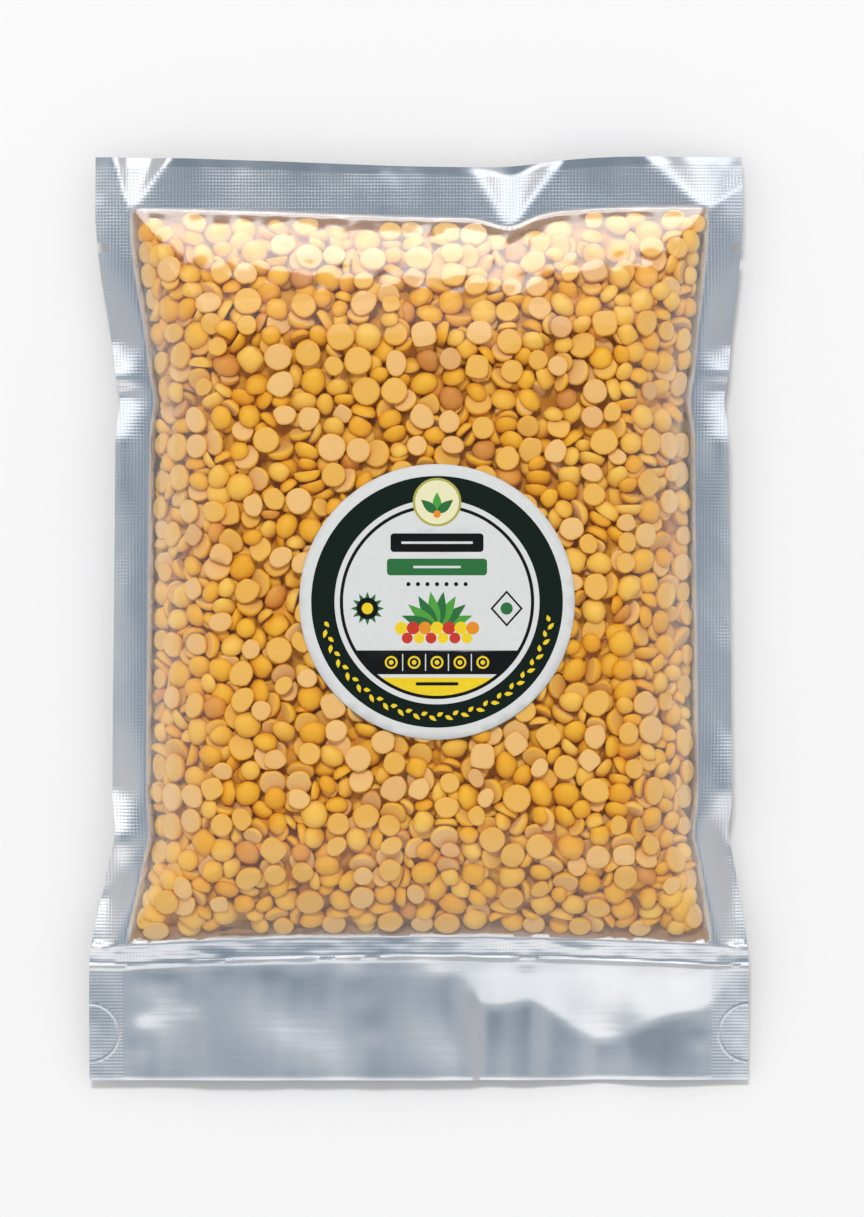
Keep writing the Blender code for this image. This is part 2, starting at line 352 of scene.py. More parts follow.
def softbox(name, azimuth, elevation, distance, size, radiance, inGloss):
    # a softbox that faces the pouch, seen only in the gloss or lighting only the rest; azimuth 90 is +Y
    light = bpy.data.lights.new(name, "AREA")
    light.shape = "RECTANGLE"
    light.size, light.size_y = size
    light.energy = radiance * math.pi * size[0] * size[1]
    obj = addObject(name, light)
    turn, rise = math.radians(azimuth), math.radians(elevation)
    toLight = Vector((math.cos(turn) * math.cos(rise), math.sin(turn) * math.cos(rise), math.sin(rise)))
    obj.location = toLight * distance
    obj.rotation_euler = toLight.to_track_quat("Z", "Y").to_euler()
    obj.visible_camera = False
    obj.visible_glossy = inGloss
    obj.visible_diffuse = not inGloss
    obj.visible_transmission = not inGloss


def makeStudio():
    scene = bpy.context.scene
    scene.view_settings.view_transform = "Standard"
    world = bpy.data.worlds.new("studio")
    scene.world = world
    world.use_nodes = True
    tree = world.node_tree
    direction = addNode(tree, "ShaderNodeTexCoord").outputs["Generated"]
    # the darkest part of the studio's ceiling is a little up the pouch from the camera
    tilt = math.radians(studio["skyTilt"])
    axis = (0, math.sin(tilt), math.cos(tilt))
    up = addNode(tree, "ShaderNodeVectorMath", {0: direction, 1: axis}, operation="DOT_PRODUCT")
    ramp = addNode(tree, "ShaderNodeValToRGB", {"Fac": up.outputs["Value"]})
    setRamp(ramp, *((place, srgb(colour)) for place, colour in studio["sky"]))
    tree.links.new(ramp.outputs["Color"], tree.nodes["Background"].inputs["Color"])
    softbox("key", **studio["key"], inGloss=False)
    for card in ("topCard", "highCard", "tailCard"):
        softbox(card, **studio[card], inGloss=True)
    bm = bmesh.new()
    bmesh.ops.create_grid(bm, x_segments=1, y_segments=1, size=studio["floorReach"])
    mesh = bpy.data.meshes.new("floor")
    bm.to_mesh(mesh)
    bm.free()
    floor = addObject("floor", mesh)
    material, tree, shader = newMaterial("matteWhiteTabletop")
    shader.inputs["Base Color"].default_value = srgb(studio["floorColour"])
    shader.inputs["Roughness"].default_value = 0.7
    mesh.materials.append(material)
    print("studio ready")


# Foil back, sealed border and tail

foil = {
    "sideCells": 14,
    "windowCells": (108, 120),
    "topCells": 20,
    "fillCells": 10,
    "tailCells": 40,
    "notchCells": 15,
    "thickness": 0.00042,
    # waves in the sheet: height, length and seed
    "borderWave": (0.00015, 0.024, 11),
    "fineWave": (0.00002, 0.005, 12),
    "crinkle": (0.00010, 0.0060, 21),
    "fineCrinkle": (0.00003, 0.0026, 22),
    "tailDents": (0.00019, 0.015, 31),
    "backCrinkle": (0.00018, 0.016, 41),
    "droopKept": 0.05,
    "darts": (
        {"base": 0.0192, "top": 0.0210, "half": 0.0108, "flat": 1.1, "slope": 0.20},
        {"base": -0.0612, "top": -0.0590, "half": 0.0066, "flat": 1.3, "slope": 0.18},
        {"base": 0.0610, "top": 0.0625, "half": 0.0150, "flat": 1.2, "slope": 0.22},
    ),
    "leftEdgeMm": (
        (-75, 0), (-58.4, -1.8), (-48.5, 1.1), (-46.3, 1.3), (-36, -1.2), (-22, 0), (20, 0), (37.8, 1.4),
        (48, -1.1), (50.9, 0.6), (59, -1.6), (75, 0),
    ),
    "rightEdgeMm": (
        (-75, 0), (-58, -1.9), (-49, -2.2), (-36.2, 1.1), (-24, 0), (20, 0), (38, 1.2), (50.2, -0.9),
        (51.4, 0.3), (58, -1.6), (75, 0),
    ),
    "edgeRounding": 0.0004,
    "sealLines": 0.00035,
    "tailSlopes": (0.100, 0.240),
    "tailTurn": (0.005, 0.009),
    "leftCorner": 0.0042,
    "leftEnd": (-0.044, 0.007, 0.17),
    "foldMm": (
        (-70, -80), (8, -80), (14, -82.9), (17, -83), (23.8, -81.1), (29.2, -84.8), (33, -87.8),
        (38.1, -89.9), (42.7, -89.9), (48.9, -86.7), (53.5, -84.4), (61.5, -82.5), (65, -77.5), (70, -75),
    ),
    "foldRounding": 0.0006,
    "tailLoose": (0.058, 0.005),
    "lip": 0.00013,
    "lipReach": 0.0006,
    "dimplesMm": (
        (-58.8, -83.8, 2.6), (-48.4, -80.9, 3.0), (-59.4, -91.2, 2.4), (-12.5, -79.0, 3.4),
        (-10.0, -87.0, 3.0), (59.2, -89.5, 2.2),
    ),
    "dimpleHeight": 0.00016,
    "colours": ("#C2C5CA", "#DAD9DA"),
    "embossPitch": 0.00070,
    "embossDepth": 0.000024,
    "thumbRadius": 0.0062,
    "thumbY": -0.0880,
    "thumbLine": (0.00045, 4.0),  # half width, and height against the grid's
    "streakScale": (60, 900, 60),
    "streakDepth": 0.00002,
    "cloudScale": (70, 22, 30),
    "roughness": (0.14, 0.22),
    "sealedRougher": 0.06,
    "smoothStripFrom": 0.84,
}


def foilStations():
    # station lists across and along the pouch: (stretch, how far along it), closer near a notch
    columns = [(-1, t) for t in np.linspace(0, 1, foil["sideCells"], endpoint=False)]
    columns += [(0, t) for t in np.linspace(-1, 1, foil["windowCells"][0], endpoint=False)]
    columns += [(1, t) for t in np.linspace(0, 1, foil["sideCells"] + 1)]
    edge = edgeX(1.0, pouch["notchY"])
    low, high = windowBottomY(edge), windowTopY(edge)
    notch = 2 * (pouch["notchY"] - low) / (high - low) - 1
    reach = 2 * pouch["notchRadius"] / (high - low)
    along = np.linspace(-1, 1, foil["windowCells"][1], endpoint=False)
    along = along[np.abs(along - notch) > 1.3 * reach]
    along = np.sort(np.concatenate([along, notch + reach * np.linspace(-1.25, 1.25, foil["notchCells"])]))
    rows = [(-2, t) for t in np.linspace(0, 1, foil["tailCells"], endpoint=False)]
    rows += [(-1, t) for t in np.linspace(0, 1, foil["fillCells"], endpoint=False)]
    rows += [(0, t) for t in along]
    rows += [(1, t) for t in np.linspace(0, 1, foil["topCells"] + 1)]
    return columns, rows


def foilPlaces(columns, rows):
    partX, a = (np.array(v, float)[None, :] for v in zip(*columns))
    partY, b = (np.array(v, float)[:, None] for v in zip(*rows))
    partX, partY = np.broadcast_arrays(partX, partY)
    a, b = np.broadcast_arrays(a, b)
    x, y = windowPlace(np.where(partX == 0, a, partX), np.where(partY == 0, b, np.sign(partY)))
    for _ in range(4):
        low, high = windowBottomY(x), windowTopY(x)
        fillLow = low - pouch["fillSeal"]
        inTail, inFillSeal = between(-pouch["halfLength"], fillLow, b), between(fillLow, low, b)
        inTopSeal = between(high, topEdgeY(x), b)
        y = np.select(
            [partY == -2, partY == -1, partY == 1], [inTail, inFillSeal, inTopSeal],
            between(low, high, (b + 1) / 2),
        )
        fromNotch = (y - pouch["notchY"]) / pouch["notchRadius"]
        nick = np.clip(1 - fromNotch**2, 0, 1) ** 0.5 * pouch["notchDepth"]
        x = np.select(
            [partX == -1, partX == 1],
            [
                between(edgeX(-1.0, y) + nick, windowX(-1.0, y), a),
                between(windowX(1.0, y), edgeX(1.0, y) - nick, a),
            ],
            between(windowX(-1.0, y), windowX(1.0, y), (a + 1) / 2),
        )
    return x, y, partX, partY, b


def dartFall(x, up, base, top, half, flat, slope):
    # a dart in the top seal, which opens and deepens upward from the window's edge
    widening = half * (0.12 + 0.9 * up)
    across = np.clip(1 - np.abs(x - between(base, top, up)) / widening, 0, 1)
    return slope * pouch["topSeal"] * up * smooth(across * flat)


def edgeProfile(y, pointsMm):
    # height along a long edge, through the given places with slightly rounded corners
    offsets = foil["edgeRounding"] * np.arange(-2, 3)
    places, heights = zip(*pointsMm)
    return sum(np.interp((y + offset) * 1000, places, heights) for offset in offsets) / (1000 * len(offsets))


def tailHeight(x, y):
    # underside of the fill seal and the tail: steep and flat on the right down to a fold, gentle on the left
    top = windowBottomY(x)
    bottom = -pouch["halfLength"]
    turn, width = foil["tailTurn"]
    steep = between(*foil["tailSlopes"], smooth((x - turn) / width))
    fold = np.interp(x * 1000, *zip(*foil["foldMm"])) / 1000
    corner = np.where(x < 0, foil["leftCorner"], pouch["tailCorner"])
    end = between(pouch["tailMiddle"], corner, np.minimum(np.abs(x) / pouch["halfWidth"], 1) ** 2)
    total = np.zeros_like(x)
    offsets = foil["foldRounding"] * np.arange(-2, 3)
    for offset in offsets:
        place = np.clip(y + offset, bottom, top)
        upper = pouch["sealHeight"] - steep * (top - place)
        atFold = pouch["sealHeight"] - steep * (top - fold)
        lower = between(np.minimum(end, atFold - 0.0002), atFold, (place - bottom) / (fold - bottom))
        total += np.where(place > fold, upper, lower)
    start, width, slope = foil["leftEnd"]
    down = np.clip(top - y, 0, pouch["fillSeal"])
    return total / len(offsets) - slope * down * smooth((start - x) / width)


def foilWave(name, x, y):
    height, wave, seed = foil[name]
    return height * softNoise(x, y, wave, seed)


def foilCrease(name, x, y):
    # sharp ridges, where the waves cross their middle
    height, wave, seed = foil[name]
    return height * (1 - np.abs(softNoise(x, y, wave, seed)))


def foilRelief(x, y, partY):
    out = np.clip(outside(x, y), 0, 1)
    up = np.clip((y - windowTopY(x)) / pouch["topSeal"], 0, 1)
    border = np.maximum(out, up)
    relief = foilWave("borderWave", x, y) * border
    relief = relief + foilWave("fineWave", x, y) * border
    relief = relief + (1 - foil["droopKept"]) * topDroop(y)
    for dart in foil["darts"]:
        relief = relief - dartFall(x, up, **dart)
    # flat facets meet at each pinch, in place of its even dip
    facets = np.where(x < 0, edgeProfile(y, foil["leftEdgeMm"]), edgeProfile(y, foil["rightEdgeMm"]))
    relief = relief + pinchDip(x, y) + facets * smooth(out * 1.1)
    # the fill seal is crinkled, with a sharp line along both of its edges
    down = (windowBottomY(x) - y) / pouch["fillSeal"]
    band = np.clip(np.minimum(down, 1 - down) * 8 + 1, 0, 1)
    relief = relief + foilCrease("crinkle", x * 0.40, y) * band
    relief = relief + foilWave("fineCrinkle", x * 0.7, y) * band
    relief = relief + foil["sealLines"] * (bell(down - 1.0, 0.09) + 0.6 * bell(down, 0.10)) * (partY < 0)
    inTail = (y < windowBottomY(x)) | (partY < 0)
    relief = relief + np.where(inTail, tailHeight(x, y) - sealPlane(x, y), 0.0)
    t = np.clip((windowBottomY(x) - pouch["fillSeal"] - y) / (pouch["tail"] - pouch["fillSeal"]), 0, 1)
    reach, fade = foil["tailLoose"]
    loose = smooth(t * 5) * (1 - smooth((np.abs(x) - reach) / fade))
    relief = relief + foilWave("tailDents", x, y * 0.5) * loose
    # the tail's cut edge turns down a little and catches the light
    relief = relief - foil["lip"] * smooth(1 - (y + pouch["halfLength"]) / foil["lipReach"])
    for atX, atY, reach in foil["dimplesMm"]:
        relief = relief + foil["dimpleHeight"] * bell(np.hypot(x * 1000 - atX, y * 1000 - atY), reach)
    # the back follows the peas a little
    back = fullness(x, y, pouch["backSideRound"], pouch["backEndRound"])
    return relief + foilCrease("backCrinkle", x, y) * 4 * back * (1 - back)


def makeFoil():
    columns, rows = foilStations()
    x, y, partX, partY, b = foilPlaces(columns, rows)
    z = np.maximum(backZ(x, y) + foilRelief(x, y, partY), 0.0)
    under = np.stack([x, y, z], axis=-1)
    mesh = gridMesh("foilPouch", under + unitNormals(backZ, x, y) * foil["thickness"], under)
    smoothStrip = (partY == 1) & (b > foil["smoothStripFrom"])
    sealed = ((partX != 0) | (np.abs(partY) == 1)) & ~smoothStrip
    pointAttribute(mesh, "sealed", np.concatenate([sealed.ravel(), sealed.ravel()]))
    obj = addObject("foilPouch", mesh)
    finishPiece(obj, metallisedFoil(), "foil_laminate", "foil_pouch")
    print("foil", len(mesh.polygons), "faces")


def metallisedFoil():
    # aluminium-metallised polyester, rolled: a cool satin mirror, with the sealing jaws' fine grid pressed
    # in, drawn a little coarser than the real 0.6 mm so that it shows
    material, tree, shader = newMaterial("metallisedPolyesterFoil")
    place = addNode(tree, "ShaderNodeTexCoord").outputs["Object"]
    axes = addNode(tree, "ShaderNodeSeparateXYZ", {0: place})
    sealed = addNode(tree, "ShaderNodeAttribute", attribute_name="sealed").outputs["Fac"]
    # a wave texture's bands are a tenth of pi apart at a scale of 1
    bands = math.pi / 10 / foil["embossPitch"]
    waves = {"Vector": place, "Scale": bands, "Distortion": 0.6, "Detail Scale": 0.8}
    lines = [
        addNode(
            tree, "ShaderNodeTexWave", waves, wave_type="BANDS", bands_direction=axis, wave_profile="SIN"
        ).outputs["Fac"]
        for axis in ("X", "Y")
    ]
    grid = addNode(tree, "ShaderNodeMath", {0: lines[0], 1: lines[1]}, operation="MULTIPLY")
    pressed = addNode(tree, "ShaderNodeMath", {0: grid.outputs[0], 1: sealed}, operation="MULTIPLY")
    # the thumb cut: a half round of pressed line at each side of the tail
    fromMiddle = addNode(tree, "ShaderNodeMath", {0: axes.outputs["X"]}, operation="ABSOLUTE").outputs[0]
    flat = addNode(tree, "ShaderNodeCombineXYZ", {"X": fromMiddle, "Y": axes.outputs["Y"]}).outputs[0]
    centre = (pouch["halfWidth"], foil["thumbY"], 0)
    distance = addNode(tree, "ShaderNodeVectorMath", {0: flat, 1: centre}, operation="DISTANCE")
    off = addNode(
        tree, "ShaderNodeMath", {0: distance.outputs["Value"], 1: foil["thumbRadius"]}, operation="SUBTRACT"
    ).outputs[0]
    off = addNode(tree, "ShaderNodeMath", {0: off}, operation="ABSOLUTE").outputs[0]
    reach, ringHeight = foil["thumbLine"]
    ring = addNode(
        tree, "ShaderNodeMapRange", {"Value": off, "From Max": reach, "To Min": ringHeight, "To Max": 0.0}
    ).outputs["Result"]
    height = addNode(tree, "ShaderNodeMath", {0: pressed.outputs[0], 1: ring}, operation="ADD")
    emboss = addNode(
        tree, "ShaderNodeBump",
        {"Height": height.outputs[0], "Strength": 1.0, "Distance": foil["embossDepth"]},
    )
    # rolling marks: long thin streaks across the web
    stretched = addNode(tree, "ShaderNodeMapping", {"Vector": place, "Scale": foil["streakScale"]})
    streaks = addNode(
        tree, "ShaderNodeTexNoise", {"Vector": stretched.outputs[0], "Scale": 1.0, "Detail": 3.0}
    ).outputs["Fac"]
    rolled = addNode(
        tree, "ShaderNodeBump",
        {"Height": streaks, "Strength": 0.8, "Distance": foil["streakDepth"],
         "Normal": emboss.outputs["Normal"]},
    )
    patches = addNode(tree, "ShaderNodeTexNoise", {"Vector": place, "Scale": 55.0, "Detail": 2.0})
    least, most = foil["roughness"]
    rough = addNode(
        tree, "ShaderNodeMapRange", {"Value": patches.outputs["Fac"], "To Min": least, "To Max": most}
    ).outputs["Result"]
    sealRough = addNode(
        tree, "ShaderNodeMath", {0: sealed, 1: foil["sealedRougher"], 2: rough}, operation="MULTIPLY_ADD"
    ).outputs[0]
    # faint clouds in the metal layer
    clouded = addNode(tree, "ShaderNodeMapping", {"Vector": place, "Scale": foil["cloudScale"]})
    clouds = addNode(
        tree, "ShaderNodeTexNoise", {"Vector": clouded.outputs[0], "Scale": 1.0, "Detail": 2.0}
    ).outputs["Fac"]
    level = addNode(
        tree, "ShaderNodeMapRange", {"Value": clouds, "From Min": 0.35, "From Max": 0.65}
    ).outputs[0]
    dull, bright = (srgb(colour) for colour in foil["colours"])
    tint = addNode(tree, "ShaderNodeMix", {0: level, 6: dull, 7: bright}, data_type="RGBA").outputs[2]
    tree.links.new(tint, shader.inputs["Base Color"])
    shader.inputs["Metallic"].default_value = 1.0
    tree.links.new(sealRough, shader.inputs["Roughness"])
    tree.links.new(rolled.outputs["Normal"], shader.inputs["Normal"])
    return material


# Split peas: settled against a flat film by rigid bodies, then laid along the puffed one

peas = {
    "radius": 0.00285,
    "sizes": (0.76, 0.86, 0.93, 1.00, 1.07),
    "overEdge": 0.0008,
    "count": 1850,
    "flatDown": 0.25,
    "seed": 5,
    "segments": 16,
    "frames": 26,
    "substeps": 8,
    "solverSteps": 10,
    "gravity": -60.0,
    "wallFriction": 0.4,
    "startPitch": 0.0060,
    "startHeight": 0.004,
    "layerPitch": 0.006,
    "endRoom": 0.003,
    "endSlope": 70,
    "underFilm": -0.0004,
    "foilGap": 0.00045,
    "edgeGap": 0.0004,
    "goodFit": 0.00005,
    "poorestFit": 0.0003,
    "touching": 0.0024,
    "tableCells": (141, 181),
    "body": {
        "collision_margin": 0.008, "friction": 0.7, "restitution": 0.05, "mass": 0.05,
        "linear_damping": 0.1, "angular_damping": 0.5,
    },
    "shapes": (
        {"oval": 0.97, "egg": 0.02, "thick": 0.82, "nick": 0.00, "broken": 1.2, "uneven": 0.022},
        {"oval": 0.85, "egg": 0.06, "thick": 0.78, "nick": 0.00, "broken": 1.2, "uneven": 0.034},
        {"oval": 0.90, "egg": 0.14, "thick": 0.84, "nick": 0.00, "broken": 1.2, "uneven": 0.034},
        {"oval": 0.78, "egg": 0.05, "thick": 0.86, "nick": 0.00, "broken": 1.2, "uneven": 0.044},
        {"oval": 0.90, "egg": 0.09, "thick": 0.70, "nick": 0.00, "broken": 0.88, "uneven": 0.044},
        {"oval": 0.95, "egg": 0.04, "thick": 0.78, "nick": 0.13, "broken": 1.2, "uneven": 0.034},
        {"oval": 0.98, "egg": 0.02, "thick": 0.74, "nick": 0.00, "broken": 0.50, "uneven": 0.034},
    ),
    "shapeShares": (0.24, 0.21, 0.20, 0.16, 0.11, 0.06, 0.02),
    "kinds": (
        {"name": "goldenPeas", "share": 0.55, "skin": ("#ECA416", "#F4BA2E"), "face": ("#E8B048", "#EEBA5A")},
        {"name": "palePeas", "share": 0.41, "skin": ("#F0B438", "#F6C654"), "face": ("#EAB66A", "#F0C27C")},
        {"name": "ruddyPeas", "share": 0.04, "skin": ("#CC8436", "#E8A03C"), "face": ("#DCA664", "#EAB874")},
    ),
    "mottleScale": 420.0,  # clouds of about 2.4 mm
    "grainScale": 2600.0,  # grain of about 0.4 mm, coarser than real so that it shows
    "mottleShare": 0.55,
    "toneSpan": (0.10, 1.40),
    "grainDepth": 0.00008,
    "roughness": (0.42, 0.62),
    "gloss": 0.3,
}
cmPerMetre = 100.0  # the rigid bodies are settled in centimetres, where their margins are small enough


def peaShape(name, oval, egg, thick, nick, broken, uneven):
    # a pea split in two: flat face down at the start, rounded back up, 1 in radius
    # each ring's reach, height, and part in the cut face
    rings = ((0.80, 0.0, 1.0), (0.93, 0.015, 0.62), (1.0, 0.14, 0.0), (0.92, 0.52, 0.0), (0.60, 0.86, 0.0))
    count = peas["segments"]
    draw = random.Random(name)
    lobes = [(k, draw.gauss(0, 2 * uneven / k), draw.uniform(0, math.tau)) for k in (2, 3, 4, 5)]
    bm = bmesh.new()
    centre = bm.verts.new((0, 0, 0.025))
    cut = [1.0]
    loops = []
    for reach, rise, inCut in rings:
        loop = []
        for step in range(count):
            angle = math.tau * step / count
            r = reach * (1 + egg * math.cos(angle) - nick * math.exp(-((angle - math.pi) / 0.3) ** 2))
            r *= 1 + sum(size * math.cos(k * angle + turn) for k, size, turn in lobes)
            x = min(r * math.cos(angle), broken)
            loop.append(bm.verts.new((x, r * math.sin(angle) * oval, rise * thick)))
            cut.append(inCut)
        loops.append(loop)
    pole = bm.verts.new((0, 0, thick))
    cut.append(0.0)
    for k in range(count):
        n = (k + 1) % count
        bm.faces.new((centre, loops[0][n], loops[0][k]))
        for low, high in zip(loops, loops[1:]):
            bm.faces.new((low[k], low[n], high[n], high[k]))
        bm.faces.new((loops[-1][k], loops[-1][n], pole))
    for vert in bm.verts:
        vert.co.z -= 0.42 * thick
    mesh = bpy.data.meshes.new(name)
    bm.to_mesh(mesh)
    bm.free()
    mesh.shade_smooth()
    pointAttribute(mesh, "cut", cut)
    return mesh


def filmTable():
    # the film's points and its arc lengths across and along, to lay flat places on the puffed film
    x, y = windowPlace(*np.meshgrid(*(np.linspace(-1, 1, cells) for cells in peas["tableCells"])))
    points = np.stack([x, y, filmZ(x, y)], axis=-1)
    across = np.linalg.norm(np.diff(points, axis=1), axis=-1)
    across = np.concatenate([np.zeros((len(points), 1)), np.cumsum(across, axis=1)], axis=1)
    middle = points[:, points.shape[1] // 2]
    along = np.concatenate([[0.0], np.cumsum(np.linalg.norm(np.diff(middle, axis=0), axis=-1))])
    return points, across, along


def layOnFilm(points, across, along, s, t, flatWidth):
    # a flat place (s, t) measured from the middle, as a point of the film and its frame
    row = np.interp(t + along[-1] / 2, along, np.arange(len(along)))
    low = min(int(row), len(along) - 2)
    part = row - low
    lengths = between(across[low], across[low + 1], part)
    reach = s / (flatWidth / 2 - peas["overEdge"]) * lengths[-1] / 2 + lengths[-1] / 2
    column = np.interp(reach, lengths, np.arange(len(lengths)))
    left = min(int(column), len(lengths) - 2)
    side = column - left
    corner = points[low:low + 2, left:left + 2]
    rowPoints = between(corner[:, 0], corner[:, 1], side)
    place = Vector(between(rowPoints[0], rowPoints[1], part))
    dx, dy = (float(v) for v in slopes(filmZ, np.array(place.x), np.array(place.y)))
    normal = Vector((-dx, -dy, 1)).normalized()
    alongX = Vector((1, 0, dx)).normalized()
    alongY = normal.cross(alongX)
    frameOfFilm = Matrix((-alongX, alongY, -normal)).transposed()
    return place, normal, frameOfFilm


def startPeas(flatWidth, flatLength):
    # every pea's start: layers of a loose grid, some with the flat face to the film
    draw = random.Random(peas["seed"])
    columns, rows = (int(size / peas["startPitch"]) for size in (flatWidth, flatLength))
    starts = []
    for k in range(peas["count"]):
        layer, place = divmod(k, columns * rows)
        row, column = divmod(place, columns)
        height = peas["startHeight"] + peas["layerPitch"] * layer
        length = flatLength - 2 * (height + peas["endRoom"]) / math.tan(math.radians(peas["endSlope"]))
        spot = Vector((
            (column + 0.5) * flatWidth / columns - flatWidth / 2,
            (row + 0.5) * length / rows - length / 2,
            height,
        ))
        turn = [draw.uniform(0, math.tau) for _ in range(3)]
        if draw.random() < peas["flatDown"]:
            turn[0], turn[1] = draw.gauss(0, 0.3), draw.gauss(0, 0.3)
        shape = draw.choices(range(len(peas["shapes"])), peas["shapeShares"])[0]
        starts.append((spot, turn, shape, draw.choice(peas["sizes"])))
    return starts


def settleWalls(group, flatWidth, flatLength):
    # the end walls lean in like the foil under the film's ends
    wide, long = flatWidth * cmPerMetre / 2, flatLength * cmPerMetre / 2
    thick, tall = 1, 5
    farX, farY = wide + thick, long + thick
    lean = 1 / math.tan(math.radians(peas["endSlope"]))
    walls = {
        "filmBed": ((-farX, -farY, -thick), (farX, farY, 0), 0),
        "leftWall": ((-farX, -farY, 0), (-wide, farY, tall), 0),
        "rightWall": ((wide, -farY, 0), (farX, farY, tall), 0),
        "nearWall": ((-farX, -farY, 0), (farX, -long, tall), lean),
        "farWall": ((-farX, long, 0), (farX, farY, tall), -lean),
    }
    made = []
    for name, (low, high, shear) in walls.items():
        bm = bmesh.new()
        bmesh.ops.create_cube(bm, size=1)
        for vert in bm.verts:
            vert.co = [low[k] + (vert.co[k] + 0.5) * (high[k] - low[k]) for k in range(3)]
            vert.co.y += shear * vert.co.z
        mesh = bpy.data.meshes.new(name)
        bm.to_mesh(mesh)
        bm.free()
        obj = addObject(name, mesh)
        group.objects.link(obj)
        obj.rigid_body.type = "PASSIVE"
        obj.rigid_body.collision_margin = 0.0
        obj.rigid_body.friction = peas["wallFriction"]
        made.append(obj)
    return made


def settlePeas(meshes, starts, flatWidth, flatLength):
    # drops the peas on a level film and returns each one's matrix at rest
    scene = bpy.context.scene
    gravity = scene.gravity.copy()
    bpy.ops.rigidbody.world_add()
    world = scene.rigidbody_world
    group = bpy.data.collections.new("settling")
    world.collection = group
    world.substeps_per_frame = peas["substeps"]
    world.solver_iterations = peas["solverSteps"]
    world.point_cache.frame_end = peas["frames"] + 2
    scene.gravity = (0, 0, peas["gravity"])
    made = settleWalls(group, flatWidth, flatLength)
    dropped = []
    for k, (spot, turn, shape, size) in enumerate(starts):
        obj = addObject(f"dropped{k}", meshes[shape])
        obj.location = spot * cmPerMetre
        obj.rotation_euler = turn
        obj.scale = (size * peas["radius"] * cmPerMetre,) * 3
        group.objects.link(obj)
        body = obj.rigid_body
        body.collision_shape = "CONVEX_HULL"
        body.use_margin = True
        for setting, value in peas["body"].items():
            setattr(body, setting, value)
        dropped.append(obj)
    for step in range(1, peas["frames"] + 1):
        scene.frame_set(step)
    graph = bpy.context.evaluated_depsgraph_get()
    rests = []
    for obj in dropped:
        place, turn, _ = obj.evaluated_get(graph).matrix_world.decompose()
        rests.append((place / cmPerMetre, turn.to_matrix()))
    scene.frame_set(1)
    bpy.ops.rigidbody.world_remove()
    for obj in made + dropped:
        bpy.data.objects.remove(obj)
    bpy.data.collections.remove(group)
    scene.gravity = gravity
    return rests


def fitInside(shell, centre, normal):
    # moves a pea that pokes out of the film or the foil back in, and tells whether it then fits
    for _ in range(8):
        x, y, z = (shell + np.array(centre)).T
        over = float((z - filmZ(x, y)).max())
        low = float((backZ(x, y) + peas["foilGap"] - z).max())
        wide = peas["edgeGap"] - float(insideSides(x, y).min())
        long = peas["edgeGap"] - float(insideEnds(x, y).min())
        if max(over, low, wide, long) < peas["goodFit"]:
            return centre, True
        centre = centre - normal * max(over, 0) * normal.z
        inward = max(low, 0) * 0.7
        towards = Vector((-normal.x, -normal.y, 0))
        if towards.length > 0.05:
            centre = centre + towards.normalized() * inward
        centre.x -= math.copysign(max(wide, 0), centre.x)
        centre.y -= math.copysign(max(long, 0), centre.y)
    return centre, max(over, low, wide, long) < peas["poorestFit"]


def pourPeas():
    # every pea that stays: its place, turn, shape, size, and whether it touches the film
    meshes = [peaShape(f"peaShape{k}", **shape) for k, shape in enumerate(peas["shapes"])]
    points, across, along = filmTable()
    flatWidth = float(across[:, -1].mean()) + 2 * peas["overEdge"]
    flatLength = float(along[-1]) + 2 * peas["overEdge"]
    starts = startPeas(flatWidth, flatLength)
    rests = settlePeas(meshes, starts, flatWidth, flatLength)
    corners = [np.array([v.co for v in mesh.vertices]) for mesh in meshes]
    poured = []
    for (place, turn), (_, _, shape, size) in zip(rests, starts):
        if abs(place.x) > flatWidth / 2 or abs(place.y) > flatLength / 2 or place.z < 0:
            continue
        spot, normal, filmFrame = layOnFilm(points, across, along, -place.x, place.y, flatWidth)
        turned = filmFrame @ turn
        centre = spot - normal * (place.z + peas["underFilm"])
        shell = corners[shape] @ np.array(turned).T * size * peas["radius"]
        centre, fits = fitInside(shell, centre, normal)
        if not fits:
            continue
        poured.append({
            "centre": centre, "turn": turned.to_quaternion(), "shape": shape, "size": size,
            "spot": spot, "touches": (centre - spot).length < peas["touching"],
        })
    print(len(poured), "split peas poured,", sum(p["touches"] for p in poured), "against the film")
    return meshes, poured


